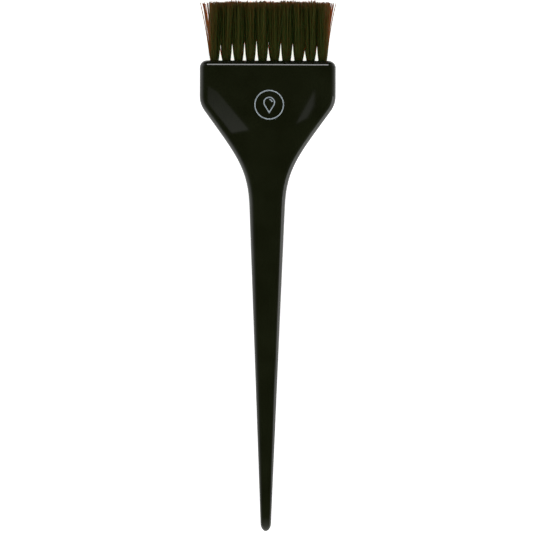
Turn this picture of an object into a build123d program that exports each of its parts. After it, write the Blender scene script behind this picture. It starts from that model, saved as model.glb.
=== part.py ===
from build123d import *
import os
from math import atan2, cos, degrees, radians, sin, tan

# A hairdresser's tint brush: a moulded handle with a wide head, a sloping neck and a pointed tail,
# and two rows of nylon tufts, each folded over a flat wire anchor at the bottom of a blind hole.
#
# The brush is drawn in its own frame: X runs along it, from the tail to the bristle tips, with x = 0 at
# the face that the tufts stand in; Y runs across the head; Z is its thickness, with the front towards +Z.
# lay_down then puts it on its back, with the origin under the middle of its outline, at the surface it
# lies on. All sizes are in millimetres.

# Handle outline
HANDLE_LENGTH = 191.0
HEAD_WIDTH = 55.1
HEAD_CORNER_RADIUS = 3.0
SHOULDER_DEPTH = 17.7      # from the bristle face to where the side and the slope would meet
SHOULDER_ANGLE = 36.0      # of the slope to the brush's axis, in degrees
SHOULDER_RADIUS = 10.3
NECK_START = 24.7          # from the bristle face to where the straight slope starts to bend
NECK_END = 59.1            # from the bristle face to where the straight tail starts
NECK_START_PULL = 17.7     # how far the neck's curve keeps the slope's direction
NECK_END_PULL = 14.3       # how far it has the tail's direction
TAIL_START_WIDTH = 14.5
TAIL_END_WIDTH = 4.3       # where the tip starts to round off

# Handle thickness: flat front and back faces that close evenly towards the tail
HEAD_THICKNESS = 12.0
TAIL_TIP_THICKNESS = 4.0
EDGE_RADIUS = 2.3
TAIL_EDGE_RADIUS = 1.0     # at the tip
EDGE_SHARE = 0.9           # the most of a section's half size that this radius takes up
TIP_LENGTH = 3.1           # of the tail end's rounding across the brush
TIP_SLOPE_LENGTH = 5.6     # of its rounding through the thickness
TIP_PLACES = (8.0, 7.0, 6.0, 5.0, 4.0, 3.0, 2.0, 1.2, 0.6, 0.25, 0.05)   # of its sections, from the very end

# Tufts
TUFTS_IN_ROW = 10
ROWS = (("front", 1), ("back", -1))
TUFT_PITCH = 4.87          # across the head
ROW_PITCH = 4.1            # through its thickness
TUFT_SHIFT = -0.3          # of the whole pattern, off the head's middle
HOLE_RADIUS = 1.75
HOLE_DEPTH = 10.0
ROOT_HALF = 1.7            # half of the tuft's thickness in its hole
ROOT_CORNER = 1.65
BRISTLE_LENGTH = 23.5
MEETING_HEIGHT = 7.0       # above the face, where neighbouring tufts come together
MEETING_REACH = 4.2        # from the mid-plane to the bristles' outside there
TIP_PITCH = 5.2            # across the head, at the tips
TIP_REACH = 5.0            # from the mid-plane to the bristles' outside at the tips
TUFT_CLEARANCE = 0.04      # between a tuft and the middle of each gap
FREE_CORNER = 0.5

# Anchors
ANCHOR_LENGTH = 4.2        # across the hole and into both of its walls
ANCHOR_HEIGHT = 1.6
ANCHOR_THICKNESS = 0.4
ANCHOR_DEPTH = 8.0         # from the bristle face to the anchor's middle

# Printed mark: a thin ring round a drop, in pad-printing ink
MARK_DEPTH = 17.9          # from the bristle face to the mark's centre
MARK_SHIFT = -0.65         # off the head's middle
MARK_RADIUS = 6.0
MARK_LINE = 0.45
INK_THICKNESS = 0.04
DROP_RADIUS = 2.35
DROP_CENTRE = -0.9         # from the mark's centre, with the drop's point on the tail's side
DROP_POINT = 3.6
GLINT_RADIUS = 1.2         # the arc inside the drop
GLINT_ANGLES = (190, 75)   # where the arc starts and how far it goes, in degrees

FACE_SLOPE = (HEAD_THICKNESS - TAIL_TIP_THICKNESS) / 2 / HANDLE_LENGTH
FACE_ANGLE = degrees(atan2(FACE_SLOPE, 1))
TOLERANCE = 0.01           # for telling the edges at the neck's end from the long ones
TAIL_SLOPE = (TAIL_START_WIDTH - TAIL_END_WIDTH) / 2 / (HANDLE_LENGTH - TIP_LENGTH - NECK_END)


def half_thickness(x):
    """From the mid-plane to the front or back face, at a place along the brush."""
    return HEAD_THICKNESS / 2 + FACE_SLOPE * x


def tuft_y(index, pitch):
    """The place of a tuft across the head, for a pitch."""
    return TUFT_SHIFT + (index - (TUFTS_IN_ROW - 1) / 2) * pitch


def plan_outline():
    """The outline of the head and neck, open at the tail's start, mirrored into a closed face."""
    half_head = HEAD_WIDTH / 2
    slope = tan(radians(SHOULDER_ANGLE))
    tail_angle = atan2(TAIL_SLOPE, 1)
    face_middle = Vector(0, 0)
    corner = Vector(0, half_head)
    shoulder = Vector(-SHOULDER_DEPTH, half_head)
    neck_start = Vector(-NECK_START, half_head - slope * (NECK_START - SHOULDER_DEPTH))
    neck_end = Vector(-NECK_END, TAIL_START_WIDTH / 2)
    slope_pull = Vector(cos(radians(SHOULDER_ANGLE)), sin(radians(SHOULDER_ANGLE))) * NECK_START_PULL
    tail_pull = Vector(cos(tail_angle), sin(tail_angle)) * NECK_END_PULL
    side = FilletPolyline(face_middle, corner, shoulder, neck_start, radius=[HEAD_CORNER_RADIUS, SHOULDER_RADIUS])
    neck = Bezier(neck_start, neck_start - slope_pull, neck_end + tail_pull, neck_end)
    middle = Line(neck_end, Vector(-NECK_END, 0))
    half = make_face([*side.edges(), *neck.edges(), *middle.edges(), *Line((-NECK_END, 0), (0, 0)).edges()])
    return half + mirror(half, about=Plane.XZ)


def thickness_wedge():
    """The whole thickness of the brush, wider than it, between its front and back faces."""
    tail = -HANDLE_LENGTH
    side = Polyline(
        (0, half_thickness(0)),
        (tail, half_thickness(tail)),
        (tail, -half_thickness(tail)),
        (0, -half_thickness(0)),
        close=True,
    )
    face = Plane.XZ * make_face(side.edges())
    return extrude(face, amount=HEAD_WIDTH, both=True)


def head_and_neck():
    """The wide part of the handle, with every long edge rounded."""
    plan = extrude(plan_outline(), amount=HEAD_THICKNESS, both=True)
    blank = plan & thickness_wedge()
    rims = [face.edges() for face in (blank.faces().sort_by(Axis.Z)[-1], blank.faces().sort_by(Axis.Z)[0])]
    edges = [edge for rim in rims for edge in rim if edge.center().X > -NECK_END + TOLERANCE]
    return fillet(edges, EDGE_RADIUS)


def rounding(distance, length):
    """How much of its full size an elliptical end still has, at a distance from its very end."""
    return (1 - max(0, 1 - distance / length) ** 2) ** 0.5


def tip_section(distance):
    """A section of the tail's rounded end, at a distance from its very end."""
    x = distance - HANDLE_LENGTH
    half_width = (TAIL_START_WIDTH / 2 + TAIL_SLOPE * (x + NECK_END)) * rounding(distance, TIP_LENGTH)
    half_height = half_thickness(x) * rounding(distance, TIP_SLOPE_LENGTH)
    corner = min(TAIL_EDGE_RADIUS, EDGE_SHARE * half_width, EDGE_SHARE * half_height)
    plane = Plane(origin=(x, 0, 0), x_dir=(0, 1, 0), z_dir=(-1, 0, 0))
    return (plane * RectangleRounded(2 * half_width, 2 * half_height, corner)).face()


def tail(neck_section):
    """The pointed tail: a straight taper from the neck's own section, and a rounded end."""
    taper = loft([neck_section, tip_section(TIP_PLACES[0])], ruled=True)
    tip = loft([tip_section(distance) for distance in TIP_PLACES])
    return taper + tip


def tuft_hole(index, side):
    """The blind hole that holds one tuft, and the bite that its anchor makes in the walls."""
    y = tuft_y(index, TUFT_PITCH)
    z = side * ROW_PITCH / 2
    hole = Plane(origin=(0, y, z), z_dir=(-1, 0, 0)) * extrude(Circle(HOLE_RADIUS), amount=HOLE_DEPTH)
    return hole + anchor(index, side)


def handle():
    """The one-piece moulding, with its holes."""
    head = head_and_neck()
    body = head + tail(head.faces().sort_by(Axis.X)[0])
    for _, side in ROWS:
        for index in range(TUFTS_IN_ROW):
            body -= tuft_hole(index, side)
    return body


def anchor(index, side):
    """A short flat wire that lies across the tuft's fold."""
    place = Pos(-ANCHOR_DEPTH, tuft_y(index, TUFT_PITCH), side * ROW_PITCH / 2)
    return place * Box(ANCHOR_HEIGHT, ANCHOR_LENGTH, ANCHOR_THICKNESS)


def tuft_section(x, y, z, half_y, half_z, corner):
    """A rounded section across a tuft."""
    plane = Plane(origin=(x, y, z), x_dir=(0, 1, 0), z_dir=(1, 0, 0))
    return (plane * RectangleRounded(2 * half_y, 2 * half_z, corner)).face()


def free_section(index, side, x, pitch, reach):
    """A section where the tuft fills its share of the bristle pack, clear of its neighbours."""
    half_y = pitch / 2 - TUFT_CLEARANCE
    half_z = (reach - TUFT_CLEARANCE) / 2
    z = side * (reach + TUFT_CLEARANCE) / 2
    return tuft_section(x, tuft_y(index, pitch), z, half_y, half_z, FREE_CORNER)


def tuft(index, side):
    """A bundle of filaments: round in its hole, then spreading until it meets its neighbours."""
    y = tuft_y(index, TUFT_PITCH)
    z = side * ROW_PITCH / 2
    bottom = -HOLE_DEPTH + TUFT_CLEARANCE
    meeting_pitch = TUFT_PITCH + (TIP_PITCH - TUFT_PITCH) * MEETING_HEIGHT / BRISTLE_LENGTH
    sections = [
        tuft_section(bottom, y, z, ROOT_HALF, ROOT_HALF, ROOT_CORNER),
        tuft_section(0, y, z, ROOT_HALF, ROOT_HALF, ROOT_CORNER),
        free_section(index, side, MEETING_HEIGHT, meeting_pitch, MEETING_REACH),
        free_section(index, side, BRISTLE_LENGTH, TIP_PITCH, TIP_REACH),
    ]
    return loft(sections, ruled=True) - anchor(index, side)


def drop():
    """An outlined drop with its point towards the tail, and a short arc inside it."""
    reach = DROP_POINT - DROP_CENTRE
    touch = atan2((reach**2 - DROP_RADIUS**2) ** 0.5, DROP_RADIUS)
    point = Vector(0, DROP_POINT)
    right = Vector(DROP_RADIUS * sin(touch), DROP_CENTRE + DROP_RADIUS * cos(touch))
    left = Vector(-right.X, right.Y)
    bottom = Vector(0, DROP_CENTRE - DROP_RADIUS)
    outline = [Line(point, right), ThreePointArc(right, bottom, left), Line(left, point)]
    shape = make_face([edge for part in outline for edge in part.edges()])
    start, sweep_angle = GLINT_ANGLES
    arc = CenterArc((0, DROP_CENTRE), GLINT_RADIUS, start, sweep_angle)
    return shape - offset(shape, amount=-MARK_LINE) + trace(arc, line_width=MARK_LINE)


def printed_mark():
    """The ring and the drop, standing an ink film's thickness off the front face."""
    face_normal = (-FACE_SLOPE, 0, 1)
    centre = (-MARK_DEPTH, MARK_SHIFT, half_thickness(-MARK_DEPTH))
    ink_plane = Plane(origin=centre, x_dir=(0, 1, 0), z_dir=face_normal)
    artwork = Circle(MARK_RADIUS) - Circle(MARK_RADIUS - MARK_LINE) + drop()
    return extrude(ink_plane * artwork, amount=INK_THICKNESS)


def lay_down(shape):
    """Put the brush on its back face, with the origin under the middle of its length."""
    height = HEAD_THICKNESS / 2 * cos(radians(FACE_ANGLE))
    middle = (BRISTLE_LENGTH - HANDLE_LENGTH) / 2
    return Pos(-middle, 0, height) * Rot(0, -FACE_ANGLE, 0) * shape


os.makedirs("parts", exist_ok=True)
export_step(lay_down(handle()), "parts/handle.step")
export_step(lay_down(printed_mark()), "parts/printed_mark.step")
for row, side in ROWS:
    for index in range(TUFTS_IN_ROW):
        name = f"{row}_{index + 1:02d}"
        export_step(lay_down(tuft(index, side)), f"parts/tuft_{name}.step")
        export_step(lay_down(anchor(index, side)), f"parts/anchor_{name}.step")
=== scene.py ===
import math
import random

import bpy
import numpy as np
from mathutils import Matrix, Vector


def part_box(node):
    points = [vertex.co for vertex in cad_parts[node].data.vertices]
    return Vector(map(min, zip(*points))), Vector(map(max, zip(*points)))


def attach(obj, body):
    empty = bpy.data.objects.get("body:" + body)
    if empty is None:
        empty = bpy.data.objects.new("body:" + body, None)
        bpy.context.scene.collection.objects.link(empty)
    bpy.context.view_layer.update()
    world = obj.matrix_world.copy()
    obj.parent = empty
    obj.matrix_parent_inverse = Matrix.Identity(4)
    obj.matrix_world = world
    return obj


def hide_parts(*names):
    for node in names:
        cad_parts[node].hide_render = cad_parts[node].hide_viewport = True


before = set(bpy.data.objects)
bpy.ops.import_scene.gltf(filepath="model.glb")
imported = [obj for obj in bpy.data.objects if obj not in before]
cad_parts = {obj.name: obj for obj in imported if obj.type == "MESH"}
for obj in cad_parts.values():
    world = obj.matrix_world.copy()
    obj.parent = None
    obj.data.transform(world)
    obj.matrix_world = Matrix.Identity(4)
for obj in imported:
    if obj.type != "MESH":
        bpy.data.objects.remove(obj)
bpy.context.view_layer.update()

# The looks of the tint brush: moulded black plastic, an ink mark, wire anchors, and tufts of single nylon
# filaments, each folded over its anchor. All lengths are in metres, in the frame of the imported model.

MM = 0.001
ROWS = ("front", "back")
TUFTS_IN_ROW = 10

# Filaments
FILAMENT_RADIUS = 0.16 * MM
TIP_RADIUS = 0.14 * MM
TABLE_CLEARANCE = 1.5 * FILAMENT_RADIUS   # of the lowest filament's middle
SIDES = 8
PACKING_STEP = 0.335 * MM        # from one filament's middle to the next, in the hole
PACKING_RADIUS = 1.59 * MM       # of the outermost filaments' middles round the hole's axis
PACKING_JITTER = 0.01 * MM
ANCHOR_GAP = 0.38 * MM           # from the anchor's middle plane to the nearest filaments' middle
FOLD_DEPTH = 0.62                # of the fold below the anchor, as a share of the leg's distance from it
FREE_STEPS = 8
FOLD_STEPS = 6
MOUTH_BULGE = 0.2 * MM           # how far the outermost filaments swell out just above the hole
MOUTH_HEIGHT = 0.6 * MM
FAN_ACROSS = (3.0, 4.0)          # lean of a tuft's outermost filaments across the head, in degrees
EDGE_FAN = (2.6, 3.4)            # the same on the outside of the two end tufts
FAN_THROUGH = (4.0, 4.8)         # the same through the head's thickness, where a tuft also gets squarer
FAN_SHAPE = 1.4                  # power by which the lean grows from a tuft's middle to its outside
LEAN_NOISE = 0.8                 # in degrees
SPLAY_START = 0.55               # share of the tuft's radius where single filaments start to bend outwards
SPLAY_NOISE = 1.6                # in degrees, from root to tip, at the tuft's outside
EDGE_SPLAY_NOISE = 5.2           # the same on the outside of the two end tufts
STRAY_SHARE = 0.12
STRAY_NOISE = 3.4                # in degrees, across the head
BEND_NOISE = 0.3 * MM            # of a filament's tip, sideways, from its own set
CLUMPS = 7                       # little groups that half a tuft's filaments gather into
CLUMP_PULL = 0.15                # how far a filament's tip moves to the middle of its clump, as a share
CLUMP_LEAN = 0.45                # in degrees
CLUMP_TRIM = 0.3 * MM
TRIM_BELOW = 0.05 * MM           # how far the trim is set below the CAD tuft's end
TRIM_NOISE = 0.15 * MM
TRIM_OUTLIERS = 0.12             # share of the filaments that the trim left too short or too long
TRIM_OUTLIER_NOISE = 0.35 * MM
EDGE_TRIM = 0.5 * MM             # how much shorter the outermost filaments are
HEAD_HALF = 26 * MM              # across the bristles, from the middle to where they are that much shorter

PARTING_HALF = 0.12 * MM         # half of the width of the handle's parting line

# Camera: straight above, with the tips at the top of the picture
VIEW_WIDTH = 216.2 * MM          # at the height of the handle's middle plane
VIEW_CENTRE = (0.31 * MM, 0.16 * MM)
VIEW_PLANE = 5 * MM
VIEW_HEIGHT = 2.0
VIEW_ROLL = 0.25                 # in degrees
SENSOR = 36.0

# Studio
WHITE = (1.0, 1.0, 1.0, 1.0)
TABLE_SIDE = 6.0
TABLE_DEPTH = 0.05 * MM          # of the table's surface below the brush's back
TABLE_GLOW = 0.85
# Light of the studio's walls, each with the sine of its elevation
WORLD_STOPS = ((0.0, 1.0), (0.34, 0.85), (0.6, 0.45), (0.75, 0.22), (0.9, 0.07), (1.0, 0.002))
DARK_END = (0.62, 0.78)          # the X of a direction where the studio starts to go dark, and where it is
SIDES_LIGHT = (0.6, 1.3)         # of the studio towards -Y and towards +Y
TAIL_SIDE = (-0.8, -0.3)         # the X of a direction where the studio is brightest, and where plain again
TAIL_SIDE_LIGHT = 0.9            # added to the studio's light where it is brightest
FILL_POWER = 3.0                 # in watts, of the soft light from the tail's side
FILL_PLACE = (-0.7, 0, 1.1)
FILL_SIZE = 1.0
BACKLIGHT = 9.0                  # radiance of the light box in the table under the bristles
BACKLIGHT_MARGIN = 3 * MM
BACKLIGHT_HEIGHT = 0.1 * MM
STRIP_OVER_TIPS = ((0.36, -0.06, 0.76), (0.36, 0.06, 0.76), (0.64, 0.06, 0.66), (0.64, -0.06, 0.66))
STRIP_LIGHT = (7.2, 7.2)
WINDOW_ON_RIGHT = ((-0.6, -0.42, 0.0), (0.05, -0.42, 0.0), (0.05, -0.42, 0.36), (-0.6, -0.42, 0.36))
WINDOW_LIGHT = (2.1, 2.1)
CARD_OVER_TAIL = ((-0.9, -0.2, 0.7), (-0.24, -0.2, 0.7), (-0.24, 0.03, 0.7), (-0.9, 0.03, 0.7))
TAIL_CARD_LIGHT = (0.9, 0.1)     # at its far end, and at its end over the tail
CARD_HEIGHT = 0.2                # of the cards that the head's flat front mirrors
LEFT_CARD_LIGHT = (0.44, 0.16)   # at its end by the tail, and at its end by the bristles
RIGHT_CARD_LIGHT = (0.38, 0.38)
# Corners of what the front mirrors: distances from the bristle face towards the tail, and across the head
LEFT_MIRRORED = ((9.4, 24.5), (11.8, 20.6), (27.1, 7.8), (28.4, 14.8), (16.2, 24.5))
RIGHT_MIRRORED = ((10.7, -18.9), (24.4, -11.3), (22.2, -15.6), (17.3, -18.3))


def brush_frame():
    """The brush's own axes: X to the tips, Z out of the front, from the middle of the bristle face."""
    front = middle_of("anchor_front_01")
    back = middle_of("anchor_back_01")
    up = (front - back).normalized()
    across = Vector((0, 1, 0))
    along = across.cross(up).normalized()
    outermost = [middle_of(f"anchor_{row}_{n:02d}") for row in ROWS for n in (1, TUFTS_IN_ROW)]
    anchors = sum(outermost, Vector()) / len(outermost)
    face = max(along.dot(v.co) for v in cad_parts["handle"].data.vertices)
    origin = anchors + along * (face - along.dot(anchors))
    axes = Matrix((along, across, up)).transposed().to_4x4()
    return Matrix.Translation(origin) @ axes


def middle_of(node):
    """The middle of a node's box."""
    low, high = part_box(node)
    return (low + high) / 2


# ---------------------------------------------------------------- camera and lights


def make_camera():
    data = bpy.data.cameras.new("camera")
    data.sensor_width = SENSOR
    data.lens = SENSOR * (VIEW_HEIGHT - VIEW_PLANE) / VIEW_WIDTH
    data.clip_start = 0.01
    data.clip_end = 20
    camera = bpy.data.objects.new("camera", data)
    x, y = VIEW_CENTRE
    camera.location = (x, y, VIEW_HEIGHT)
    camera.rotation_euler = (0, 0, math.radians(-90 + VIEW_ROLL))
    bpy.context.scene.collection.objects.link(camera)
    bpy.context.scene.camera = camera


def make_world():
    """A studio that is white round the horizon, dark overhead and dark beyond the bristle tips."""
    world = bpy.data.worlds.new("studio")
    world.use_nodes = True
    nodes, links = world.node_tree.nodes, world.node_tree.links
    background = nodes["Background"]
    place = nodes.new("ShaderNodeTexCoord")
    split = nodes.new("ShaderNodeSeparateXYZ")
    ramp = nodes.new("ShaderNodeValToRGB")
    links.new(place.outputs["Generated"], split.inputs[0])
    links.new(split.outputs["Z"], ramp.inputs["Fac"])
    fill_ramp(ramp, [(height, (light, light, light, 1)) for height, light in WORLD_STOPS])
    links.new(ramp.outputs["Color"], background.inputs["Color"])
    strength = nodes.new("ShaderNodeMath")
    strength.operation = "MULTIPLY_ADD"
    links.new(map_range(nodes, links, split.outputs["X"], *DARK_END, 1.0, 0.0), strength.inputs[0])
    links.new(map_range(nodes, links, split.outputs["Y"], -1, 1, *SIDES_LIGHT), strength.inputs[1])
    tail_side = map_range(nodes, links, split.outputs["X"], *TAIL_SIDE, TAIL_SIDE_LIGHT, 0.0)
    links.new(tail_side, strength.inputs[2])
    links.new(strength.outputs["Value"], background.inputs["Strength"])
    bpy.context.scene.world = world


def fill_ramp(ramp, stops):
    elements = ramp.color_ramp.elements
    while len(elements) < len(stops):
        elements.new(1.0)
    for element, (position, colour) in zip(elements, stops):
        element.position = position
        element.color = colour


def make_card(name, corners, light):
    """A glowing flat card of the studio, seen only in reflections. Its light goes from one value to another
    along X."""
    mesh = bpy.data.meshes.new(name)
    mesh.from_pydata([tuple(corner) for corner in corners], [], [tuple(range(len(corners)))])
    material = bpy.data.materials.new(name)
    material.use_nodes = True
    nodes, links = material.node_tree.nodes, material.node_tree.links
    nodes.remove(nodes["Principled BSDF"])
    glow = nodes.new("ShaderNodeEmission")
    place = nodes.new("ShaderNodeTexCoord")
    split = nodes.new("ShaderNodeSeparateXYZ")
    links.new(place.outputs["Generated"], split.inputs[0])
    links.new(map_range(nodes, links, split.outputs["X"], 0, 1, *light), glow.inputs["Strength"])
    links.new(glow.outputs["Emission"], nodes["Material Output"].inputs["Surface"])
    mesh.materials.append(material)
    card = bpy.data.objects.new(name, mesh)
    card.visible_camera = False
    card.visible_shadow = False
    bpy.context.scene.collection.objects.link(card)


def mirrored_corners(brush, corners):
    """Where a level card's corners hang for the head's flat front to mirror them at given places."""
    low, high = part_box("printed_mark")
    slope = math.atan2(high.z - low.z, high.x - low.x)
    normal = Vector((-math.sin(slope), 0, math.cos(slope)))
    front = (low + high) / 2
    eye = Vector((*VIEW_CENTRE, VIEW_HEIGHT))
    hung = []
    for depth, across in corners:
        place = brush @ Vector((-depth * MM, across * MM, 0))
        place.z = front.z + (place.x - front.x) * math.tan(slope)
        ray = (place - eye).normalized()
        mirrored = ray - 2 * ray.dot(normal) * normal
        hung.append(place + mirrored * (CARD_HEIGHT - place.z) / mirrored.z)
    return hung


def make_fill():
    """A large soft light from the tail's side that polished surfaces don't mirror."""
    data = bpy.data.lights.new("fill", "AREA")
    data.shape = "DISK"
    data.size = FILL_SIZE
    data.energy = FILL_POWER
    fill = bpy.data.objects.new("fill", data)
    fill.location = FILL_PLACE
    fill.rotation_euler = (-fill.location).to_track_quat("-Z", "Y").to_euler()
    fill.visible_glossy = False
    bpy.context.scene.collection.objects.link(fill)


def make_backlight():
    """A light box in the table that shines through the bristles. Polished surfaces don't mirror it."""
    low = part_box("tuft_back_01")[0]
    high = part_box(f"tuft_back_{TUFTS_IN_ROW:02d}")[1]
    face = max(v.co.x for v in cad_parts["handle"].data.vertices)
    data = bpy.data.lights.new("light_box", "AREA")
    data.shape = "RECTANGLE"
    data.size = high.x - face + BACKLIGHT_MARGIN
    data.size_y = high.y - low.y + 2 * BACKLIGHT_MARGIN
    data.energy = BACKLIGHT * math.pi * data.size * data.size_y
    box = bpy.data.objects.new("light_box", data)
    box.location = (face + data.size / 2, (low.y + high.y) / 2, BACKLIGHT_HEIGHT)
    box.rotation_euler = (math.pi, 0, 0)
    box.visible_camera = False
    box.visible_glossy = False
    bpy.context.scene.collection.objects.link(box)


def make_lights(brush):
    """A strip over the tips, a tall window low on the right, three dim cards overhead, a soft fill, and a
    light box under the bristles."""
    make_card("strip_over_tips", STRIP_OVER_TIPS, STRIP_LIGHT)
    make_card("window_on_right", WINDOW_ON_RIGHT, WINDOW_LIGHT)
    make_card("over_tail", CARD_OVER_TAIL, TAIL_CARD_LIGHT)
    make_card("left_reflection", mirrored_corners(brush, LEFT_MIRRORED), LEFT_CARD_LIGHT)
    make_card("right_reflection", mirrored_corners(brush, RIGHT_MIRRORED), RIGHT_CARD_LIGHT)
    make_fill()
    make_backlight()


def make_floor():
    """A softly glowing white table."""
    mesh = bpy.data.meshes.new("table")
    half = TABLE_SIDE / 2
    corners = [(x * half, y * half, -TABLE_DEPTH) for x, y in ((-1, -1), (1, -1), (1, 1), (-1, 1))]
    mesh.from_pydata(corners, [], [(0, 1, 2, 3)])
    floor = bpy.data.objects.new("table", mesh)
    bpy.context.scene.collection.objects.link(floor)
    material, shader, nodes, links = new_material("table_white")
    noise = add_noise(nodes, links, scale=60, detail=4)
    ramp = nodes.new("ShaderNodeValToRGB")
    fill_ramp(ramp, [(0.3, (0.82, 0.82, 0.82, 1)), (0.7, (0.86, 0.86, 0.86, 1))])
    links.new(noise.outputs["Fac"], ramp.inputs["Fac"])
    links.new(ramp.outputs["Color"], shader.inputs["Base Color"])
    shader.inputs["Roughness"].default_value = 0.9
    shader.inputs["Specular IOR Level"].default_value = 0.1
    shader.inputs["Emission Color"].default_value = WHITE
    shader.inputs["Emission Strength"].default_value = TABLE_GLOW
    mesh.materials.append(material)


# ---------------------------------------------------------------- materials


def new_material(name):
    material = bpy.data.materials.new(name)
    material.use_nodes = True
    nodes, links = material.node_tree.nodes, material.node_tree.links
    return material, nodes["Principled BSDF"], nodes, links


def add_noise(nodes, links, scale, detail=3, stretch=(1, 1, 1)):
    """A noise in the object's own metres, stretched along its axes."""
    place = nodes.new("ShaderNodeTexCoord")
    mapping = nodes.new("ShaderNodeMapping")
    mapping.inputs["Scale"].default_value = stretch
    noise = nodes.new("ShaderNodeTexNoise")
    noise.inputs["Scale"].default_value = scale
    noise.inputs["Detail"].default_value = detail
    links.new(place.outputs["Object"], mapping.inputs["Vector"])
    links.new(mapping.outputs["Vector"], noise.inputs["Vector"])
    return noise


def map_range(nodes, links, source, low, high, to_low, to_high):
    node = nodes.new("ShaderNodeMapRange")
    node.inputs["From Min"].default_value = low
    node.inputs["From Max"].default_value = high
    node.inputs["To Min"].default_value = to_low
    node.inputs["To Max"].default_value = to_high
    links.new(source, node.inputs["Value"])
    return node.outputs["Result"]


def add_bump(nodes, links, height, strength, distance, below=None):
    bump = nodes.new("ShaderNodeBump")
    bump.inputs["Strength"].default_value = strength
    bump.inputs["Distance"].default_value = distance
    links.new(height, bump.inputs["Height"])
    if below is not None:
        links.new(below, bump.inputs["Normal"])
    return bump.outputs["Normal"]


def mid_plane_distance(nodes, links, brush):
    """How far a point is from the handle's mid-plane, either way, in metres."""
    up = brush.to_3x3() @ Vector((0, 0, 1))
    place = nodes.new("ShaderNodeTexCoord")
    along_up = nodes.new("ShaderNodeVectorMath")
    along_up.operation = "DOT_PRODUCT"
    along_up.inputs[1].default_value = up
    links.new(place.outputs["Object"], along_up.inputs[0])
    offset = nodes.new("ShaderNodeMath")
    offset.operation = "SUBTRACT"
    offset.inputs[1].default_value = up.dot(brush.translation)
    links.new(along_up.outputs["Value"], offset.inputs[0])
    distance = nodes.new("ShaderNodeMath")
    distance.operation = "ABSOLUTE"
    links.new(offset.outputs["Value"], distance.inputs[0])
    return distance.outputs["Value"]


def black_plastic(brush):
    """Polished injection moulding: a parting line, faint waviness, fine wiping scratches and slight haze."""
    material, shader, nodes, links = new_material("handle_black_gloss")
    tone = add_noise(nodes, links, scale=90, detail=5)
    ramp = nodes.new("ShaderNodeValToRGB")
    fill_ramp(ramp, [(0.35, (0.0086, 0.0103, 0.0038, 1)), (0.65, (0.0116, 0.0139, 0.0056, 1))])
    links.new(tone.outputs["Fac"], ramp.inputs["Fac"])
    links.new(ramp.outputs["Color"], shader.inputs["Base Color"])
    haze = add_noise(nodes, links, scale=38, detail=6)
    haze_roughness = map_range(nodes, links, haze.outputs["Fac"], 0.35, 0.7, 0.02, 0.045)
    links.new(haze_roughness, shader.inputs["Roughness"])
    shader.inputs["IOR"].default_value = 1.5
    waves = add_noise(nodes, links, scale=55, detail=1)
    scratches = add_noise(nodes, links, scale=500, detail=2, stretch=(0.05, 1, 1))
    wavy = add_bump(nodes, links, waves.outputs["Fac"], 0.02, 0.2 * MM)
    scratched = add_bump(nodes, links, scratches.outputs["Fac"], 0.03, 0.02 * MM, wavy)
    flash = map_range(nodes, links, mid_plane_distance(nodes, links, brush), 0, PARTING_HALF, 1, 0)
    links.new(add_bump(nodes, links, flash, 0.6, 0.05 * MM, scratched), shader.inputs["Normal"])
    return material


def grey_ink():
    """Pad-printing ink: slightly uneven cover and a fine matt grain."""
    material, shader, nodes, links = new_material("mark_grey_ink")
    cover = add_noise(nodes, links, scale=1600, detail=4)
    ramp = nodes.new("ShaderNodeValToRGB")
    fill_ramp(ramp, [(0.3, (0.355, 0.41, 0.44, 1)), (0.6, (0.445, 0.51, 0.55, 1))])
    links.new(cover.outputs["Fac"], ramp.inputs["Fac"])
    links.new(ramp.outputs["Color"], shader.inputs["Base Color"])
    grain = add_noise(nodes, links, scale=4500, detail=2)
    links.new(map_range(nodes, links, grain.outputs["Fac"], 0.3, 0.7, 0.4, 0.6), shader.inputs["Roughness"])
    links.new(add_bump(nodes, links, grain.outputs["Fac"], 0.15, 0.02 * MM), shader.inputs["Normal"])
    return material


def nylon():
    """Extruded nylon: red-brown light comes through one filament, and the bulk is nearly black."""
    material, shader, nodes, links = new_material("bristle_nylon")
    strand = nodes.new("ShaderNodeNewGeometry")
    # Base colour differs at random from filament to filament; the lightest tenth is a painted glint, a few
    # strands made lighter to stand for specks of reflected light.
    strand_tone_and_glint = nodes.new("ShaderNodeValToRGB")
    fill_ramp(
        strand_tone_and_glint,
        [(0.0, (0.013, 0.052, 0.009, 1)), (0.9, (0.017, 0.065, 0.012, 1)), (1.0, (0.04, 0.095, 0.03, 1))],
    )
    links.new(strand.outputs["Random Per Island"], strand_tone_and_glint.inputs["Fac"])
    links.new(strand_tone_and_glint.outputs["Color"], shader.inputs["Base Color"])
    drawn = add_noise(nodes, links, scale=2500, detail=2, stretch=(0.08, 1, 1))
    links.new(map_range(nodes, links, drawn.outputs["Fac"], 0.3, 0.7, 0.4, 0.6), shader.inputs["Roughness"])
    shader.inputs["IOR"].default_value = 1.45
    shader.inputs["Specular Tint"].default_value = (0.75, 0.95, 0.25, 1)
    through = nodes.new("ShaderNodeBsdfTranslucent")
    glow = nodes.new("ShaderNodeValToRGB")
    fill_ramp(glow, [(0.0, (0.6, 0.11, 0.05, 1)), (0.8, (0.68, 0.16, 0.08, 1)), (1.0, (0.84, 0.3, 0.17, 1))])
    links.new(strand.outputs["Random Per Island"], glow.inputs["Fac"])
    links.new(glow.outputs["Color"], through.inputs["Color"])
    both = nodes.new("ShaderNodeMixShader")
    both.inputs["Fac"].default_value = 0.42
    links.new(shader.outputs["BSDF"], both.inputs[1])
    links.new(through.outputs["BSDF"], both.inputs[2])
    links.new(both.outputs["Shader"], nodes["Material Output"].inputs["Surface"])
    return material


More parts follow.
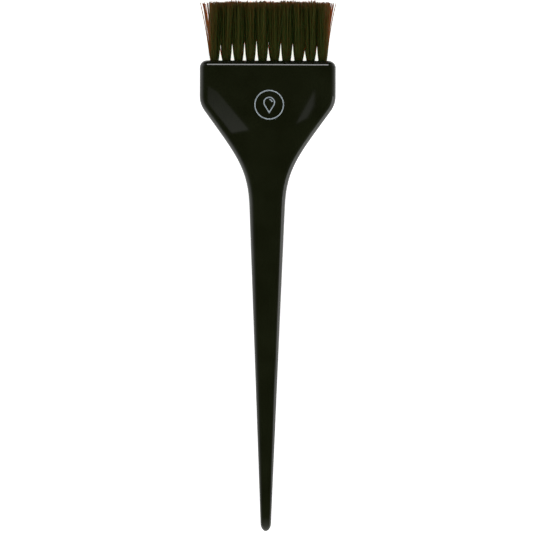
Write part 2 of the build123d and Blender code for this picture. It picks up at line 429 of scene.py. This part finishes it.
def drawn_wire():
    """Flat drawn steel wire, with lines along its length."""
    material, shader, nodes, links = new_material("anchor_drawn_wire")
    lines = add_noise(nodes, links, scale=5000, detail=3, stretch=(1, 0.04, 1))
    ramp = nodes.new("ShaderNodeValToRGB")
    fill_ramp(ramp, [(0.3, (0.5, 0.49, 0.46, 1)), (0.7, (0.66, 0.64, 0.6, 1))])
    links.new(lines.outputs["Fac"], ramp.inputs["Fac"])
    links.new(ramp.outputs["Color"], shader.inputs["Base Color"])
    shader.inputs["Metallic"].default_value = 1.0
    links.new(map_range(nodes, links, lines.outputs["Fac"], 0.3, 0.7, 0.25, 0.45), shader.inputs["Roughness"])
    links.new(add_bump(nodes, links, lines.outputs["Fac"], 0.2, 0.01 * MM), shader.inputs["Normal"])
    return material


# ---------------------------------------------------------------- tufts


def packed_roots(rng):
    """Places of the filaments' legs in half of a hole, in half rings that start and end beside the anchor."""
    roots = []
    for ring in range(int((PACKING_RADIUS - ANCHOR_GAP) / PACKING_STEP) + 1):
        radius = PACKING_RADIUS - ring * PACKING_STEP
        start = math.asin(ANCHOR_GAP / radius)
        sweep = math.pi - 2 * start
        gaps = max(1, int(sweep * radius / PACKING_STEP))
        for number in range(gaps + 1):
            angle = start + sweep * number / gaps
            y = radius * math.cos(angle) + rng.gauss(0, PACKING_JITTER)
            z = radius * math.sin(angle) + rng.gauss(0, PACKING_JITTER)
            roots.append((y, max(ANCHOR_GAP, z)))
    return roots


def closed_up(root):
    """Where a leg stands in the hole's mouth, with the anchor's gap closed."""
    y, z = root
    spread = (PACKING_RADIUS - FILAMENT_RADIUS) / (PACKING_RADIUS - ANCHOR_GAP)
    return y, math.copysign(FILAMENT_RADIUS + (abs(z) - ANCHOR_GAP) * spread, z)


def make_clumps(rng, side):
    """Clumps of half a tuft: the place of each in the hole's mouth, how it leans, and how it was trimmed."""
    clumps = []
    for _ in range(CLUMPS):
        angle = rng.uniform(0, math.pi)
        radius = PACKING_RADIUS * math.sqrt(rng.random())
        place = (radius * math.cos(angle), side * radius * math.sin(angle))
        lean = (rng.gauss(0, CLUMP_LEAN), rng.gauss(0, CLUMP_LEAN))
        clumps.append((place, lean, rng.gauss(0, CLUMP_TRIM)))
    return clumps


def free_leg(rng, root, middle, fans, clumps, length):
    """Points of one leg from the bristle face to its trimmed tip, in the brush's frame."""
    y, z = closed_up(root)
    fan, splay_noise = fans["right" if y < 0 else "left"]
    place, clump_lean, trim = min(clumps, key=lambda clump: math.dist(clump[0], (y, z)))
    aside = min(1, abs(y) / PACKING_RADIUS)
    noise = STRAY_NOISE if rng.random() < STRAY_SHARE else LEAN_NOISE
    across = math.copysign(fan * aside**FAN_SHAPE, y) + clump_lean[0] * (1 - aside) + rng.gauss(0, noise)
    squaring = math.hypot(y, z) / max(abs(y), abs(z))
    through = fans["through"] * squaring * z / PACKING_RADIUS + clump_lean[1] + rng.gauss(0, LEAN_NOISE)
    lean_y = math.tan(math.radians(across))
    lean_z = math.tan(math.radians(through))
    splay = abs(rng.gauss(0, splay_noise)) * max(0, aside - SPLAY_START) / (1 - SPLAY_START)
    bend_y = math.copysign(length * math.tan(math.radians(splay)), y) + rng.gauss(0, BEND_NOISE)
    bend_y += CLUMP_PULL * (place[0] - y)
    bend_z = rng.gauss(0, BEND_NOISE) + CLUMP_PULL * (place[1] - z)
    edge = min(1, abs(middle[0] + y + lean_y * length) / HEAD_HALF)
    trim_noise = TRIM_OUTLIER_NOISE if rng.random() < TRIM_OUTLIERS else TRIM_NOISE
    reach = length - TRIM_BELOW - EDGE_TRIM * edge**4 + trim + rng.gauss(0, trim_noise)
    points = []
    for step in range(FREE_STEPS + 1):
        t = step / FREE_STEPS
        x = reach * t
        bulge = MOUTH_BULGE * min(1, x / MOUTH_HEIGHT) * y / PACKING_RADIUS
        points.append((
            x,
            middle[0] + y + bulge + lean_y * x + bend_y * t * t,
            middle[1] + z + lean_z * x + bend_z * t * t,
        ))
    return points


def fold(root, far_root, middle, anchor_bottom):
    """Points down the hole, round under the anchor and up again, between two legs."""
    points = []
    half = (root[1] - far_root[1]) / 2
    mean_y = (root[0] + far_root[0]) / 2
    mean_z = (root[1] + far_root[1]) / 2
    swing_y = (root[0] - far_root[0]) / 2
    for step in range(FOLD_STEPS + 1):
        angle = math.pi * step / FOLD_STEPS
        x = anchor_bottom - FOLD_DEPTH * half * math.sin(angle)
        points.append(
            (x, middle[0] + mean_y + swing_y * math.cos(angle), middle[1] + mean_z + half * math.cos(angle))
        )
    return points


def above_table(brush, point):
    """A filament's point in the model's frame, kept clear of the table."""
    place = brush @ Vector(point)
    place.z = max(place.z, TABLE_CLEARANCE)
    return place


def tube_rings(points, radii):
    """Rings of vertices round a path, as an array of rings by sides by three."""
    path = np.array(points)
    tangents = np.gradient(path, axis=0)
    tangents /= np.linalg.norm(tangents, axis=1)[:, None]
    across = np.array((0.0, 1.0, 0.0))
    binormals = across - (tangents @ across)[:, None] * tangents
    binormals /= np.linalg.norm(binormals, axis=1)[:, None]
    normals = np.cross(tangents, binormals)
    angles = np.arange(SIDES) * 2 * math.pi / SIDES
    cosines, sines = np.cos(angles)[None, :, None], np.sin(angles)[None, :, None]
    circle = cosines * normals[:, None] + sines * binormals[:, None]
    return path[:, None] + circle * np.array(radii)[:, None, None]


def tube_faces(start, rings):
    """The side faces and the two end caps of a tube whose vertices start at a number."""
    faces = []
    for ring in range(rings - 1):
        low = start + ring * SIDES
        for side in range(SIDES):
            after = (side + 1) % SIDES
            faces.append((low + side, low + after, low + SIDES + after, low + SIDES + side))
    faces.append(tuple(start + side for side in reversed(range(SIDES))))
    faces.append(tuple(start + (rings - 1) * SIDES + side for side in range(SIDES)))
    return faces


def make_tuft(row, number, brush, material):
    """One tuft of folded filaments, which stands for its CAD bundle."""
    name = f"{row}_{number:02d}"
    rng = random.Random(f"tuft {name}")
    to_brush = brush.inverted()
    anchor = to_brush @ middle_of(f"anchor_{name}")
    low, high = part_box(f"anchor_{name}")
    anchor_bottom = anchor.x - (high.x - low.x) / 2
    middle = (anchor.y, anchor.z)
    tuft_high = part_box(f"tuft_{name}")[1]
    length = (to_brush @ Vector((tuft_high.x, 0, tuft_high.z))).x
    inside = (FAN_ACROSS, SPLAY_NOISE)
    outside = (EDGE_FAN, EDGE_SPLAY_NOISE)
    fans = {"through": rng.uniform(*FAN_THROUGH)}
    for side, end_tuft in (("right", 1), ("left", TUFTS_IN_ROW)):
        fan, splay_noise = outside if number == end_tuft else inside
        fans[side] = (rng.uniform(*fan), splay_noise)
    near_clumps = make_clumps(rng, 1)
    far_clumps = make_clumps(rng, -1)
    near = packed_roots(rng)
    far = [(y, -z) for y, z in packed_roots(rng)]
    far.sort(key=lambda root: root[0])
    near.sort(key=lambda root: root[0])
    vertices, faces = [], []
    for root, far_root in zip(near, far):
        up = free_leg(rng, root, middle, fans, near_clumps, length)
        down = free_leg(rng, far_root, middle, fans, far_clumps, length)
        whole = up[::-1] + fold(root, far_root, middle, anchor_bottom) + down
        path = [above_table(brush, point) for point in whole]
        radii = [FILAMENT_RADIUS] * len(path)
        radii[0] = radii[-1] = TIP_RADIUS
        faces += tube_faces(len(vertices), len(path))
        vertices += tube_rings(path, radii).reshape(-1, 3).tolist()
    mesh = bpy.data.meshes.new(f"bristles_{name}")
    mesh.from_pydata(vertices, [], faces)
    mesh.polygons.foreach_set("use_smooth", [len(face) == 4 for face in faces])
    mesh.materials.append(material)
    tuft = bpy.data.objects.new(f"bristles_{name}", mesh)
    bpy.context.scene.collection.objects.link(tuft)
    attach(tuft, "root")
    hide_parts(f"tuft_{name}")


def paint(node, material):
    """Give a CAD node its material."""
    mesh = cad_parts[node].data
    mesh.materials.clear()
    mesh.materials.append(material)


def main():
    make_camera()
    make_world()
    brush = brush_frame()
    make_lights(brush)
    make_floor()
    bpy.context.scene.view_settings.view_transform = "Standard"
    paint("handle", black_plastic(brush))
    paint("printed_mark", grey_ink())
    wire = drawn_wire()
    bristle = nylon()
    for row in ROWS:
        for number in range(1, TUFTS_IN_ROW + 1):
            paint(f"anchor_{row}_{number:02d}", wire)
            make_tuft(row, number, brush, bristle)


main()
